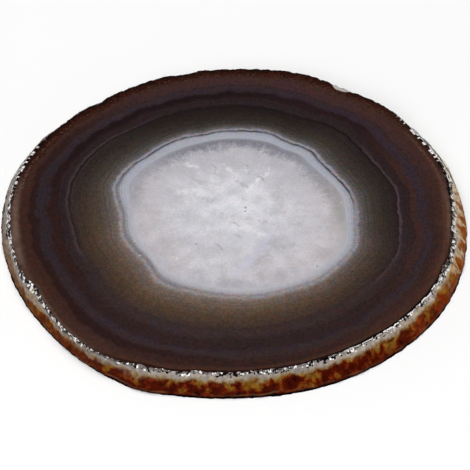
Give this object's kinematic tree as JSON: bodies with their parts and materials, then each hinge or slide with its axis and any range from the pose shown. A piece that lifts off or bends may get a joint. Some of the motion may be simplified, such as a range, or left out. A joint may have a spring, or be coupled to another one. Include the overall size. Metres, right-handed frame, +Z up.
{
  "type": "agate slice coaster",
  "caption": "Flat slab of banded agate with a polished face, a pale quartz core and a rough flared natural rim, used as a drinks coaster.",
  "frame": {"origin": "under the middle of the slab, on the surface that it lies on", "axes": "+Z up through the slab's thickness, out of the polished face; +X to the right and +Y to the back as the picture shows it"},
  "size_m": [0.1012, 0.0988, 0.005],
  "materials": {
    "agate": "polished, translucent in the quartz core, rough on the natural rim"
  },
  "bodies": {
    "root": {"agate_slice": "agate"}
  },
  "joints": []
}
